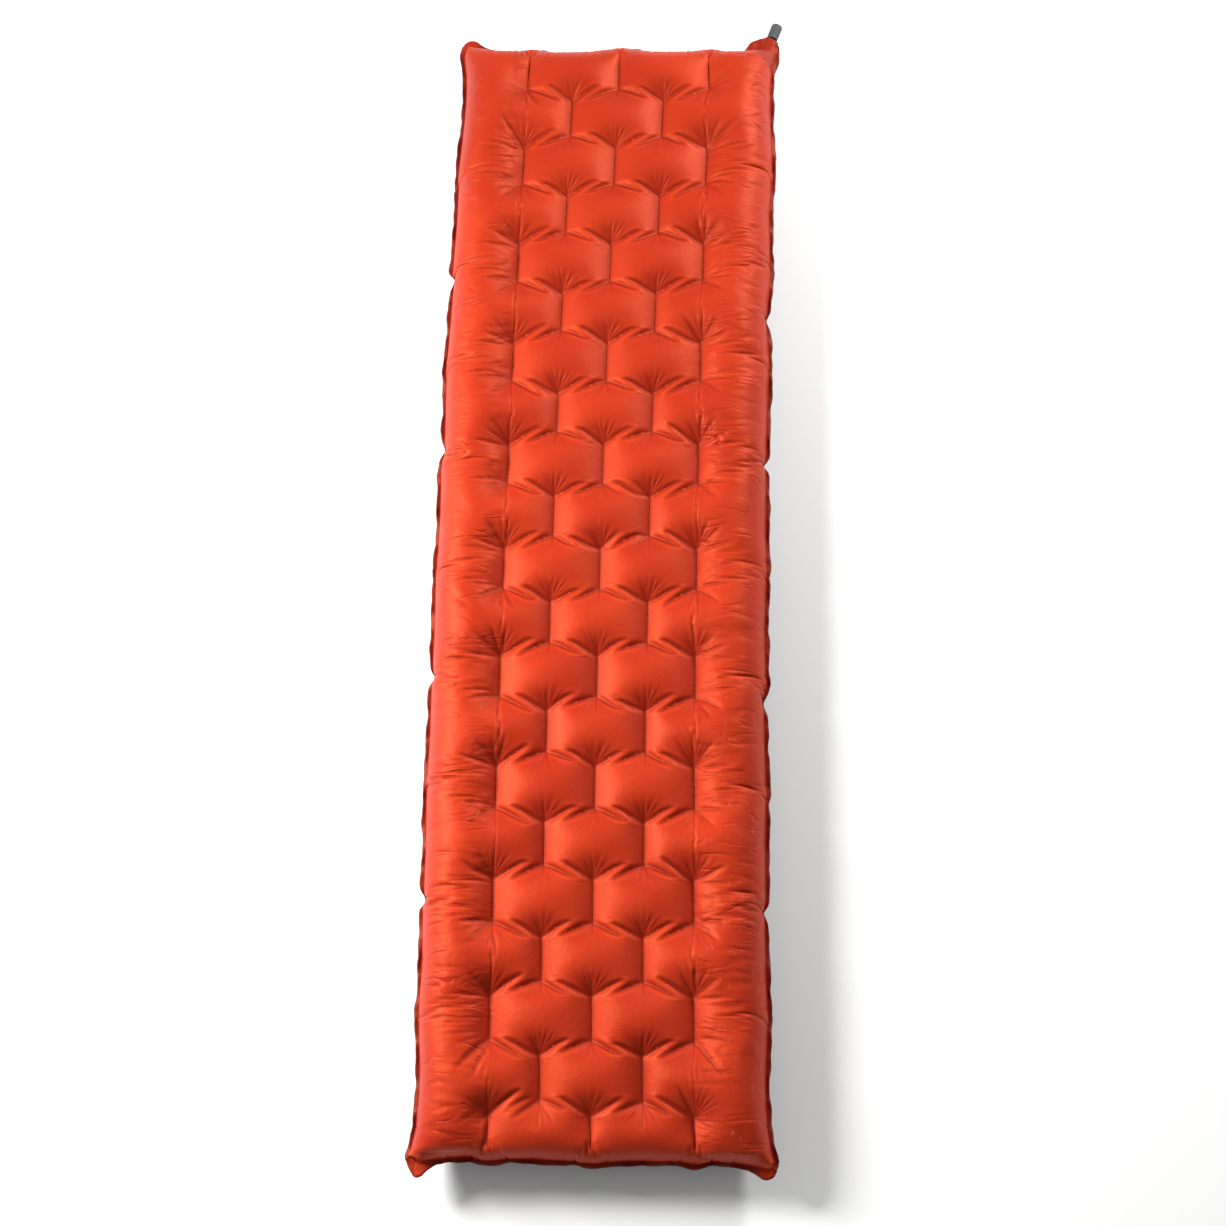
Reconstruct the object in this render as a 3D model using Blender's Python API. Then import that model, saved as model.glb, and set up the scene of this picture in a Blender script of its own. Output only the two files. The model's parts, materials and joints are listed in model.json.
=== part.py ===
"""Inflatable sleeping pad, inflated and lying on the ground.

Two coated fabric panels are welded round their rim and held a set distance apart by short
upright web baffles.  The baffles stand in staggered rows, so each panel swells into pillows
between their weld lines.  A twist valve leaves the head end through one corner of the rim.

Metres, +Z up.  The origin is on the ground, under the middle of the whole object's box.
+Y runs to the head end, and +X to the valve's side.
"""

import math

import bmesh
import bpy
from mathutils import Matrix, Vector

# Driving dimensions of the inflated pad
WIDTH = 0.510  # seam to seam
LENGTH = 1.820  # seam to seam
THICKNESS = 0.108  # over the two side chambers
CLEARANCE = 0.0003  # kept between pieces that touch

# Panels
FABRIC = 0.0012  # coated cloth with its laminate
FLANGE = 0.006  # width of the rim weld outside the seam
EAR_REACH = 0.014  # how much further the rim goes at a corner
EAR_SPREAD = 0.030  # length of rim that widens into the ear
CROWN = 0.0445  # half thickness over the pillows between the baffles
WELD_HALF = 0.0255  # half the distance between a baffle's two weld lines
SIDE_FLAT = (0.190, 0.215)  # crest of a side chamber, from the centre line
END_CREST = 0.870  # where the pad starts to fall to its head and foot seams

# Baffles: rows of three and two by turns, from head to foot
ROWS = 21
ROW_PITCH = 0.087
ROWS_MIDDLE = -0.010  # the head's margin is wider, for the valve
COLUMN_PITCH = 0.0747
WELD_LENGTH = 0.066
END_CUT = 0.018  # the first and last row's baffles are shorter at their outer ends
WEB = 0.0008
COLUMN_NAMES = {-2: "left", -1: "left", 0: "middle", 1: "right", 2: "right"}

# Valve, along its own axis from the rim's edge outwards
VALVE_ANGLE = math.radians(20)  # from +Y towards +X
NECK = Vector((0.2585, 0.9345))  # where the stem leaves the rim
STEM_RADIUS = 0.0065
STEM_INNER_END = -0.040
STEM_OUTER_END = 0.009
SEAT_RADIUS = 0.00455
CHAMBER_RADIUS = 0.0055
SEAT_HEIGHTS = (-0.012, -0.008)
GUIDE_START = -0.001
BOAT_HALF_WIDTH = 0.0125
BOAT_HALF_HEIGHT = 0.0068
BOAT_EDGE = 0.0012
BOAT_SPAN = (-0.022, -0.001)
PISTON_RADIUS = 0.0041
PISTON_BORE = 0.0019
PISTON_ENDS = (-0.0125, 0.0232)
PISTON_BORE_FLOOR = -0.0078
PORT_HEIGHT = -0.0056
PORT_RADIUS = 0.0012
SEAL_SECTION = 0.0006  # radius of the ring's section
SEAL_RADIUS = 0.00365
SEAL_HEIGHTS = (-0.010, 0.0015)
GROOVE_FLOOR = 0.00275
COLLAR_RADIUS = 0.0056
COLLAR_SPAN = (0.0120, 0.0140)
HEAD_SPAN = (0.0204, 0.0220)  # the snap head that holds the knob
HEAD_RADIUS = 0.0054
KNOB_SPAN = (0.0025, 0.0305)
KNOB_VALLEY = 0.0088
KNOB_RIDGE = 0.0095
KNOB_RIBS = 16
KNOB_SKIRT_BORE = 0.0071
SHOULDER_BORE = 0.0046
SHOULDER_SPAN = (0.0144, 0.0200)
POCKET_RADIUS = 0.0062
POCKET_END = 0.0245
MOUTH_RADIUS = 0.0030

MIDDLE = THICKNESS / 2
ROUND = 32  # sides of a turned valve piece

FABRIC_RED = (0.68, 0.075, 0.022)
FABRIC_GREY = (0.06, 0.045, 0.05)
FILM = (0.75, 0.72, 0.66)
PLASTIC_GREY = (0.11, 0.11, 0.115)
PLASTIC_BLACK = (0.012, 0.012, 0.013)
RUBBER = (0.02, 0.02, 0.02)


def material(name, colour, roughness, metallic=0.0):
    """A plain Principled material."""
    made = bpy.data.materials.new(name)
    made.use_nodes = True
    shader = made.node_tree.nodes["Principled BSDF"]
    shader.inputs["Base Color"].default_value = (*colour, 1.0)
    shader.inputs["Roughness"].default_value = roughness
    shader.inputs["Metallic"].default_value = metallic
    return made


def new_object(name, mesh, parent, finish):
    """Links a mesh as a named object under its parent."""
    made = bpy.data.objects.new(name, mesh)
    bpy.context.scene.collection.objects.link(made)
    made.parent = parent
    made.data.materials.append(finish)
    return made


def mesh_from(name, bm):
    """Turns a bmesh into a mesh with its faces pointing out."""
    bmesh.ops.recalc_face_normals(bm, faces=bm.faces)
    mesh = bpy.data.meshes.new(name)
    bm.to_mesh(mesh)
    bm.free()
    return mesh


# Panels


def row_centre(row):
    """Y of a baffle row, row 0 being the one at the head."""
    return ROWS_MIDDLE + ((ROWS - 1) / 2 - row) * ROW_PITCH


def row_span(row):
    """Lowest and highest Y of a row's baffles."""
    low, high = row_centre(row) - WELD_LENGTH / 2, row_centre(row) + WELD_LENGTH / 2
    if row == 0:
        high -= END_CUT
    if row == ROWS - 1:
        low += END_CUT
    return low, high


def row_columns(row):
    """Columns with a baffle in this row: three on even rows, two on odd ones."""
    return (-2, 0, 2) if row % 2 == 0 else (-1, 1)


def is_weld(x, y):
    """True where a point of the panel grid lies on a baffle's weld line."""
    column = round(x / COLUMN_PITCH)
    if abs(column) > 2 or abs(x - column * COLUMN_PITCH) > 1e-4:
        return False
    spans = [row_span(row) for row in range(ROWS) if column in row_columns(row)]
    return any(low - 1e-4 < y < high + 1e-4 for low, high in spans)


def fall(distance, start, end):
    """Quarter ellipse from 1 at start down to 0 at end."""
    share = min(max((distance - start) / (end - start), 0.0), 1.0)
    return math.sqrt(1.0 - share * share)


def half_height(x, y):
    """Height of a panel's outside above the seam plane."""
    edge = fall(abs(x), SIDE_FLAT[1], WIDTH / 2) * fall(abs(y), END_CREST, LENGTH / 2)
    side = min(max((abs(x) - 2 * COLUMN_PITCH) / (SIDE_FLAT[0] - 2 * COLUMN_PITCH), 0.0), 1.0)
    crest = CROWN + (MIDDLE - CROWN) * math.sin(side * math.pi / 2)
    height = crest * edge
    if is_weld(x, y):
        height = min(height, WELD_HALF + FABRIC + CLEARANCE)
    return height


def valve_axis():
    """Direction of the valve in the seam plane."""
    return Vector((math.sin(VALVE_ANGLE), math.cos(VALVE_ANGLE)))


def valve_lift(x, y):
    """How far each panel is held off the seam plane by the valve's stem."""
    reach = Vector((x, y)) - NECK
    axis = valve_axis()
    along = reach.dot(axis)
    across = abs(reach.x * axis.y - reach.y * axis.x)
    if along < STEM_INNER_END - 0.012:
        return 0.0
    full, none = BOAT_HALF_WIDTH + 0.0015, 0.026
    share = min(max((none - across) / (none - full), 0.0), 1.0)
    return share * (BOAT_HALF_HEIGHT + 0.0009)


def grid_lines():
    """X and Y values of the panel's grid, seams included."""
    half = [0.0, 0.5, 1.0, 1.5, 2.0]
    xs = [step * COLUMN_PITCH for step in half] + [0.170, *SIDE_FLAT, 0.236, 0.2475, WIDTH / 2]
    ys = [-LENGTH / 2, -0.904, *TAB_LINES, LENGTH / 2]
    for row in range(ROWS):
        ys += row_span(row)
    return sorted({round(sign * x, 6) for x in xs for sign in (-1, 1)}), sorted(round(y, 6) for y in ys)


def rim_point(x, y):
    """Outer edge of the rim weld beside a point of the seam, with ears at the corners."""
    corner = Vector((math.copysign(WIDTH / 2, x), math.copysign(LENGTH / 2, y)))
    gap = (Vector((x, y)) - corner).length
    nearness = min(max(1.0 - gap / EAR_SPREAD, 0.0), 1.0)
    on_side, on_end = abs(abs(x) - WIDTH / 2) < 1e-6, abs(abs(y) - LENGTH / 2) < 1e-6
    outward = Vector((math.copysign(1, x) if on_side else 0, math.copysign(1, y) if on_end else 0))
    diagonal = Vector((math.copysign(1, x), math.copysign(1, y))).normalized()
    direction = (outward.normalized() + diagonal * nearness).normalized()
    reach = FLANGE + EAR_REACH * nearness * nearness * (3 - 2 * nearness)
    return Vector((x, y)) + direction * reach


# The valve's corner of the rim: a cut-off tab.  Each seam point has its point on the tab's edge.
TAB_LINES = (0.888, 0.900)
VALVE_TAB = {
    (0.236, LENGTH / 2): (0.2220, 0.9280),
    (0.2475, LENGTH / 2): (0.2465, 0.9410),
    (WIDTH / 2, LENGTH / 2): (0.2585, 0.9345),
    (WIDTH / 2, TAB_LINES[1]): (0.2690, 0.9280),
    (WIDTH / 2, TAB_LINES[0]): (0.2730, 0.8920),
}


def panel(name, side, parent, finish):
    """One panel: side is 1 for the top and -1 for the bottom."""
    xs, ys = grid_lines()
    seam = CLEARANCE / 2 + FABRIC
    tab = {(round(a, 6), round(b, 6)): Vector(p) for (a, b), p in VALVE_TAB.items()}

    def height(x, y, on_seam):
        rise = seam if on_seam else max(half_height(x, y), seam)
        return MIDDLE + side * max(rise, valve_lift(x, y) + FABRIC)

    bm = bmesh.new()
    grid = []
    for y in ys:
        on_end = abs(abs(y) - LENGTH / 2) < 1e-6
        row = [bm.verts.new((x, y, height(x, y, on_end or abs(abs(x) - WIDTH / 2) < 1e-6))) for x in xs]
        grid.append(row)
    for j in range(len(ys) - 1):
        for i in range(len(xs) - 1):
            bm.faces.new((grid[j][i], grid[j][i + 1], grid[j + 1][i + 1], grid[j + 1][i]))

    ring = [grid[0][i] for i in range(len(xs))]
    ring += [grid[j][-1] for j in range(1, len(ys))]
    ring += [grid[-1][i] for i in range(len(xs) - 2, -1, -1)]
    ring += [grid[j][0] for j in range(len(ys) - 2, 0, -1)]
    outer = []
    for vertex in ring:
        x, y = vertex.co.x, vertex.co.y
        point = tab.get((round(x, 6), round(y, 6))) or rim_point(x, y)
        rise = max(seam, valve_lift(point.x, point.y) + FABRIC)
        outer.append(bm.verts.new((point.x, point.y, MIDDLE + side * rise)))
    for k in range(len(ring)):
        n = (k + 1) % len(ring)
        bm.faces.new((ring[n], ring[k], outer[k], outer[n]))
    bmesh.ops.recalc_face_normals(bm, faces=bm.faces)
    bm.normal_update()
    if sum(face.normal.z for face in bm.faces) * side < 0:
        bmesh.ops.reverse_faces(bm, faces=bm.faces)
    mesh = bpy.data.meshes.new(name)
    bm.to_mesh(mesh)
    bm.free()
    made = new_object(name, mesh, parent, finish)
    wall = made.modifiers.new("wall", "SOLIDIFY")
    wall.thickness = FABRIC
    wall.offset = -1.0
    mesh.shade_smooth()
    return made


def baffle(row, column, parent, finish):
    """One upright web: a thin strip along Y, as long as its weld lines."""
    low, high = row_span(row)
    bm = bmesh.new()
    place = Matrix.Translation((column * COLUMN_PITCH, (low + high) / 2, MIDDLE))
    size = Matrix.Diagonal((WEB, high - low, 2 * (WELD_HALF - CLEARANCE), 1.0))
    bmesh.ops.create_cube(bm, size=1.0, matrix=place @ size)
    name = f"baffle_{row + 1:02d}_{COLUMN_NAMES[column]}"
    return new_object(name, mesh_from(name, bm), parent, finish)


# Valve pieces are turned about their own +Z, which the valve's empty lays along the axis


def turned(profile, closed_axis=False, sides=ROUND):
    """A solid turned about Z from a closed outline of (radius, height) points."""
    bm = bmesh.new()
    rings = []
    for radius, height in profile:
        if closed_axis and radius == 0.0:
            rings.append([bm.verts.new((0, 0, height))])
            continue
        turn = [2 * math.pi * k / sides for k in range(sides)]
        rings.append([bm.verts.new((radius * math.cos(a), radius * math.sin(a), height)) for a in turn])
    pairs = list(zip(rings, rings[1:])) if closed_axis else list(zip(rings, rings[1:] + rings[:1]))
    for lower, upper in pairs:
        for k in range(sides):
            n = (k + 1) % sides
            corners = [lower[k % len(lower)], lower[n % len(lower)], upper[n % len(upper)], upper[k % len(upper)]]
            bm.faces.new(list(dict.fromkeys(corners)))
    return bm


def smooth(made, degrees=35):
    """Smooth shading with sharp edges kept."""
    made.data.shade_smooth()
    made.data.set_sharp_from_angle(angle=math.radians(degrees))


def cutter(name, bm, parent, finish):
    """A hidden solid that only cuts or joins another."""
    made = new_object(name, mesh_from(name, bm), parent, finish)
    made.hide_render = True
    made.display_type = "WIRE"
    return made


def boolean(made, other, operation):
    """Adds an exact Boolean with another object."""
    step = made.modifiers.new(other.name, "BOOLEAN")
    step.operation = operation
    step.solver = "EXACT"
    step.object = other


def valve_stem(parent, finish):
    """The stem with its eye-shaped weld base and its stepped bore."""
    low, high = STEM_INNER_END, STEM_OUTER_END
    name = "valve_stem"
    outside = turned([(0, low), (STEM_RADIUS, low), (STEM_RADIUS, high - 0.0006),
                      (STEM_RADIUS - 0.0006, high), (0, high)], closed_axis=True)
    stem = new_object(name, mesh_from(name, outside), parent, finish)

    bm = bmesh.new()
    eye = [(-BOAT_HALF_WIDTH, BOAT_EDGE), (-STEM_RADIUS, BOAT_HALF_HEIGHT), (STEM_RADIUS, BOAT_HALF_HEIGHT),
           (BOAT_HALF_WIDTH, BOAT_EDGE), (BOAT_HALF_WIDTH, -BOAT_EDGE), (STEM_RADIUS, -BOAT_HALF_HEIGHT),
           (-STEM_RADIUS, -BOAT_HALF_HEIGHT), (-BOAT_HALF_WIDTH, -BOAT_EDGE)]
    face = bm.faces.new([bm.verts.new((x, y, BOAT_SPAN[0])) for x, y in eye])
    grown = bmesh.ops.extrude_face_region(bm, geom=[face])["geom"]
    up = [v for v in grown if isinstance(v, bmesh.types.BMVert)]
    bmesh.ops.translate(bm, verts=up, vec=(0, 0, BOAT_SPAN[1] - BOAT_SPAN[0]))
    boolean(stem, cutter("weld_base_shape", bm, parent, finish), "UNION")

    over = 0.005
    bore = turned([(0, low - over), (CHAMBER_RADIUS, low - over), (CHAMBER_RADIUS, SEAT_HEIGHTS[0]),
                   (SEAT_RADIUS, SEAT_HEIGHTS[0]), (SEAT_RADIUS, SEAT_HEIGHTS[1]),
                   (CHAMBER_RADIUS, SEAT_HEIGHTS[1] + 0.0008), (CHAMBER_RADIUS, GUIDE_START),
                   (SEAT_RADIUS, GUIDE_START), (SEAT_RADIUS, high + over), (0, high + over)], closed_axis=True)
    boolean(stem, cutter("bore_shape", bore, parent, finish), "DIFFERENCE")
    smooth(stem)
    return stem


def valve_piston(parent, finish):
    """Hollow plunger that carries both seals and leads the air to the mouth."""
    low, high = PISTON_ENDS
    half = SEAL_SECTION + CLEARANCE
    outline = [(0, low), (PISTON_RADIUS - 0.0005, low), (PISTON_RADIUS, low + 0.0005)]
    for centre in SEAL_HEIGHTS:
        outline += [(PISTON_RADIUS, centre - half), (GROOVE_FLOOR, centre - half),
                    (GROOVE_FLOOR, centre + half), (PISTON_RADIUS, centre + half)]
    outline += [(PISTON_RADIUS, COLLAR_SPAN[0]), (COLLAR_RADIUS, COLLAR_SPAN[0]),
                (COLLAR_RADIUS, COLLAR_SPAN[1]), (PISTON_RADIUS, COLLAR_SPAN[1])]
    outline += [(PISTON_RADIUS, HEAD_SPAN[0]), (HEAD_RADIUS, HEAD_SPAN[0]), (PISTON_RADIUS, HEAD_SPAN[1])]
    outline += [(PISTON_RADIUS, high - 0.0004), (PISTON_RADIUS - 0.0004, high), (PISTON_BORE, high),
                (PISTON_BORE, PISTON_BORE_FLOOR), (0, PISTON_BORE_FLOOR)]
    name = "valve_piston"
    piston = new_object(name, mesh_from(name, turned(outline, closed_axis=True)), parent, finish)
    bm = bmesh.new()
    across = Matrix.Translation((0, 0, PORT_HEIGHT)) @ Matrix.Rotation(math.pi / 2, 4, "Y")
    bmesh.ops.create_cone(bm, cap_ends=True, segments=12, radius1=PORT_RADIUS, radius2=PORT_RADIUS,
                          depth=4 * PISTON_RADIUS, matrix=across)
    boolean(piston, cutter("port_shape", bm, parent, finish), "DIFFERENCE")
    smooth(piston)
    return piston


def seal(name, height, parent, finish):
    """A rubber ring in a groove of the piston."""
    sides = 8
    turn = [2 * math.pi * k / sides for k in range(sides)]
    outline = [(SEAL_RADIUS + SEAL_SECTION * math.cos(a), height + SEAL_SECTION * math.sin(a)) for a in turn]
    made = new_object(name, mesh_from(name, turned(outline)), parent, finish)
    made.data.shade_smooth()
    return made


def valve_knob(parent, finish):
    """Ribbed grip that turns on the piston, over the stem, with the hole to blow through."""
    low, high = KNOB_SPAN
    sides = 4 * KNOB_RIBS
    inside = [(KNOB_SKIRT_BORE, low), (KNOB_SKIRT_BORE, SHOULDER_SPAN[0]), (SHOULDER_BORE, SHOULDER_SPAN[0]),
              (SHOULDER_BORE, SHOULDER_SPAN[1]), (POCKET_RADIUS, SHOULDER_SPAN[1]), (POCKET_RADIUS, POCKET_END),
              (MOUTH_RADIUS, POCKET_END), (MOUTH_RADIUS, high)]
    bevel = 0.0012
    outside = [(-bevel, high), (0.0, high - bevel), (0.0, low + bevel), (-bevel, low)]
    bm = bmesh.new()
    rings = []
    for radius, height in inside:
        turn = [2 * math.pi * k / sides for k in range(sides)]
        rings.append([bm.verts.new((radius * math.cos(a), radius * math.sin(a), height)) for a in turn])
    for inset, height in outside:
        ring = []
        for k in range(sides):
            radius = (KNOB_RIDGE if k % 4 in (0, 1) else KNOB_VALLEY) + inset
            angle = 2 * math.pi * k / sides
            ring.append(bm.verts.new((radius * math.cos(angle), radius * math.sin(angle), height)))
        rings.append(ring)
    for lower, upper in zip(rings, rings[1:] + rings[:1]):
        for k in range(sides):
            n = (k + 1) % sides
            bm.faces.new((lower[k], lower[n], upper[n], upper[k]))
    made = new_object("valve_knob", mesh_from("valve_knob", bm), parent, finish)
    smooth(made)
    return made


def centre_on_ground(root):
    """Moves the whole pad so that the origin is under the middle of its box."""
    bpy.context.view_layer.update()
    depsgraph = bpy.context.evaluated_depsgraph_get()
    low, high = Vector((1e9,) * 3), Vector((-1e9,) * 3)
    for made in bpy.context.scene.objects:
        if made.type != "MESH" or made.hide_render:
            continue
        shown = made.evaluated_get(depsgraph)
        for vertex in shown.data.vertices:
            point = shown.matrix_world @ vertex.co
            low = Vector(map(min, low, point))
            high = Vector(map(max, high, point))
    middle = (low + high) / 2
    root.location = (-middle.x, -middle.y, -low.z)


def main():
    for old in list(bpy.data.objects):
        bpy.data.objects.remove(old, do_unlink=True)

    pad = bpy.data.objects.new("pad", None)
    bpy.context.scene.collection.objects.link(pad)
    red = material("top_fabric", FABRIC_RED, 0.45)
    grey = material("bottom_fabric", FABRIC_GREY, 0.6)
    film = material("baffle_film", FILM, 0.35)
    panel("top_panel", 1, pad, red)
    panel("bottom_panel", -1, pad, grey)
    for row in range(ROWS):
        for column in row_columns(row):
            baffle(row, column, pad, film)

    valve = bpy.data.objects.new("valve_axis", None)
    bpy.context.scene.collection.objects.link(valve)
    valve.parent = pad
    out = valve_axis().to_3d()
    across = Vector((out.y, -out.x, 0))
    frame = Matrix((across, out.cross(across), out)).transposed().to_4x4()
    valve.matrix_local = Matrix.Translation((NECK.x, NECK.y, MIDDLE)) @ frame
    black = material("valve_plastic", PLASTIC_BLACK, 0.4)
    grip = material("knob_plastic", PLASTIC_GREY, 0.5)
    rubber = material("seal_rubber", RUBBER, 0.7)
    valve_stem(valve, black)
    valve_piston(valve, black)
    seal("piston_seal_lower", SEAL_HEIGHTS[0], valve, rubber)
    seal("piston_seal_upper", SEAL_HEIGHTS[1], valve, rubber)
    valve_knob(valve, grip)
    centre_on_ground(pad)


main()
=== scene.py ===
"""Looks of an inflated sleeping pad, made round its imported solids.

The two panels are one sheet of cloth each, held down along the baffles' weld lines and blown
up by a small cloth solver.  Metres, +Z up; +Y runs to the head end and +X to the valve's side.
"""

import json
import math

import bpy
import numpy as np
from mathutils import Matrix, Vector


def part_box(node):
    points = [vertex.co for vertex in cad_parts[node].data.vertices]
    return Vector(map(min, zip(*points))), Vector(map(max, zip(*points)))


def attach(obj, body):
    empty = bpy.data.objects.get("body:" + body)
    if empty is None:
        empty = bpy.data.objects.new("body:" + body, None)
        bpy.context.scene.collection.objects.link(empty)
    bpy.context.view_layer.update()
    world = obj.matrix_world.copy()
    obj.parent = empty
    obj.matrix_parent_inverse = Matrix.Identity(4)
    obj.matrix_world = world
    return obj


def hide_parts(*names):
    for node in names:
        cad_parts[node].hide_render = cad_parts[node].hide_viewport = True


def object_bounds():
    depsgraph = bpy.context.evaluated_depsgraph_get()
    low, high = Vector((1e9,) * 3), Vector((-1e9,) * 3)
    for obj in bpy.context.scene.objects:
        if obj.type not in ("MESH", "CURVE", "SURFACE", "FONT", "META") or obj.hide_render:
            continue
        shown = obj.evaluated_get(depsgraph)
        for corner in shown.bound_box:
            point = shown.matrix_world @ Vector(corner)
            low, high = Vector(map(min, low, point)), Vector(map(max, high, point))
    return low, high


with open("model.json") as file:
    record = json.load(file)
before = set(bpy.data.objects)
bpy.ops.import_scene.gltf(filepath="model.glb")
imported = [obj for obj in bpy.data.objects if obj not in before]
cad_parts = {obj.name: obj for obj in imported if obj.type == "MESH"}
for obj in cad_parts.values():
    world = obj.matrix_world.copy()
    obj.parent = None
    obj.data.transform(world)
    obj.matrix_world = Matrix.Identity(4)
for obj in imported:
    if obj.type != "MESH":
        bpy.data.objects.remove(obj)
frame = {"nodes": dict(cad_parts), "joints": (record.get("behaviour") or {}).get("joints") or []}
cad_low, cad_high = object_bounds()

MM = 0.001
RANDOM_SEED = 11


# The pad's plan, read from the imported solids


def middle_of(node):
    """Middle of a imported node's box."""
    low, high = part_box(node)
    return (low + high) / 2


BAFFLES = sorted(name for name in frame["nodes"] if name.startswith("baffle_"))
ROWS = len({name.split("_")[1] for name in BAFFLES})
MIDDLE_ROW = ROWS // 2
MIDDLE = (cad_low.z + cad_high.z) / 2  # the seam plane's height
# Sheet coordinates run from here: the middle row's middle weld, on the seam plane
CENTRE = Vector((middle_of("baffle_01_middle").x,
                 middle_of(f"baffle_{MIDDLE_ROW + 1:02d}_middle").y, MIDDLE))
COLUMN_PITCH = (middle_of("baffle_01_right").x - CENTRE.x) / 2
WELD_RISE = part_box("baffle_01_middle")[1].z - MIDDLE + 1.3 * MM
VALVE = next(joint for joint in frame["joints"] if joint["name"] == "knob_turn")
VALVE_NECK = Vector(VALVE["pos_m"])  # where the stem leaves the rim
VALVE_AXIS = Vector(VALVE["axis"]).normalized()

# Cloth: the flat lengths that the panels are cut to, and the plan that they start from
HALF_WIDTH = 0.255  # centre line to side seam
HEAD_SEAM = 0.924
FOOT_SEAM = -0.899
CREST_X = 0.202  # crest of a side chamber
CROWN, CREST = 0.0445, 0.054  # start heights over the pillows and over the side chambers
COLUMN_CLOTH = (1.053, 1.036)  # cloth per length of plan, in the inner and outer columns
GAP_CLOTH = 0.0255  # cloth between a row and the next, over 21 mm of plan
SIDE_CLOTH = 0.1372  # outer column to side seam
HEAD_CLOTH = 0.054
FOOT_CLOTH = 0.036
PILLOW_REACH = 0.052  # how far from a weld the cloth starts at full height

# Thread lines of the coarse cloth; the fine cloth has REFINE times as many
CELLS_COLUMN = 9
CELLS_SIDE = 17
CELLS_WELD = 8
CELLS_END_WELD = 6
CELLS_GAP = 3
CELLS_END = 6
REFINE = 3

# Deep creases run across the side chambers and pull the rim in: side, place along the pad
RIM_TUCKS = ((1, 0.432), (1, 0.182), (1, -0.208), (1, -0.533),
             (-1, 0.501), (-1, 0.209), (-1, -0.169), (-1, -0.517))
TUCK_DEPTH = 0.0085
TUCK_HALF = 0.0070
TUCK_FADE = 0.012  # how far along the pad a tuck narrows the rim

# Rim weld
CLOTH_THICK = 0.8 * MM
LINING_DEPTH = 2.5 * MM  # how far inside the cloth its hidden inner face lies
LINING_DEPTH_HELD = 1.2 * MM  # the same on the weld lines
WELD_GAP = 0.15 * MM  # half the gap left between the panels in the rim weld
RIM_WIDTH = 6.2 * MM
HEAD_RIM = 0.55  # the head's rim is narrower: its share of the full width
NARROWEST_RIM = 1.2 * MM
RIM_RIPPLE = 1.5 * MM
RIPPLE_WAVES = (0.021, 0.034, 0.052, 0.083, 0.130)
DARK_EDGE = 0.9 * MM  # how far the bottom cloth stands out past the top cloth
RIM_SHARES = (0.2, 0.4, 0.6, 0.8, 1.0)  # lines of the rim, as shares of its width


def row_span(row):
    """Lowest and highest place of a row's welds along the pad."""
    low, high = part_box(f"baffle_{row + 1:02d}_left")
    return low.y - CENTRE.y, high.y - CENTRE.y


def row_columns(row):
    """Columns with a weld in this row."""
    return (-2, 0, 2) if row % 2 == 0 else (-1, 1)


def bow(along):
    """Sideways drift of the whole pad, which never lies quite straight."""
    return 0.0075 * (along / 0.8) ** 2 - 0.0015


# Cloth solver


def lay_columns(refine):
    """Thread lines across the pad: flat place, plan x, share of full height, share of side crest."""
    steps = CELLS_COLUMN * refine
    share = np.arange(2 * steps + 1) / steps
    inner, outer = COLUMN_CLOTH
    flat = COLUMN_PITCH * (np.minimum(share, 1) * inner + np.maximum(share - 1, 0) * outer)
    plan = share * COLUMN_PITCH
    full, crest = np.ones_like(share), np.zeros_like(share)
    out = np.arange(1, CELLS_SIDE * refine + 1) / (CELLS_SIDE * refine)
    level = 0.4  # share of the side's cloth that runs level to the crest
    t = np.minimum(out / level, 1.0)
    a = np.clip((out - level) / (1 - level), 0, 1) * math.pi / 2
    start = 2 * COLUMN_PITCH
    side_plan = np.where(out < level, start + t * (CREST_X - start),
                         CREST_X + (HALF_WIDTH - CREST_X) * np.sin(a))
    flat = np.concatenate([flat, flat[-1] + out * SIDE_CLOTH])
    plan = np.concatenate([plan, side_plan])
    full = np.concatenate([full, np.cos(a)])
    crest = np.concatenate([crest, np.sin(t * math.pi / 2)])
    mirror = lambda values, sign: np.concatenate([sign * values[:0:-1], values])
    columns = {c: len(flat) - 1 + c * steps for c in range(-2, 3)}
    return mirror(flat, -1), mirror(plan, -1), mirror(full, 1), mirror(crest, 1), columns


def lay_rows(refine):
    """Thread lines along the pad, head to foot: flat place, plan y, share of full height, weld spans."""
    flat, plan, full, spans = [], [], [], []
    steps = CELLS_END * refine
    top = row_span(0)[1]
    for k in range(steps):
        a = (1 - k / steps) * math.pi / 2
        flat.append(HEAD_CLOTH * k / steps)
        plan.append(top + (HEAD_SEAM - top) * math.sin(a))
        full.append(math.sqrt(max(math.cos(a), 0)))
    done = HEAD_CLOTH
    for row in range(ROWS):
        low, high = row_span(row)
        cells = (CELLS_END_WELD if row in (0, ROWS - 1) else CELLS_WELD) * refine
        spans.append((len(flat), len(flat) + cells))
        share = np.arange(cells + 1) / cells
        flat += list(done + share * (high - low))
        plan += list(high - share * (high - low))
        full += [1.0] * (cells + 1)
        done += high - low
        if row < ROWS - 1:
            cells = CELLS_GAP * refine
            share = np.arange(1, cells) / cells
            flat += list(done + share * GAP_CLOTH)
            plan += list(low + share * (row_span(row + 1)[1] - low))
            full += [1.0] * (cells - 1)
            done += GAP_CLOTH
    bottom = row_span(ROWS - 1)[0]
    for k in range(1, steps + 1):
        a = k / steps * math.pi / 2
        flat.append(done + FOOT_CLOTH * k / steps)
        plan.append(bottom + (FOOT_SEAM - bottom) * math.sin(a))
        full.append(math.sqrt(max(math.cos(a), 0)))
    flat = np.array(flat)
    return flat[-1] / 2 - flat, np.array(plan), np.array(full), spans


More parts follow.
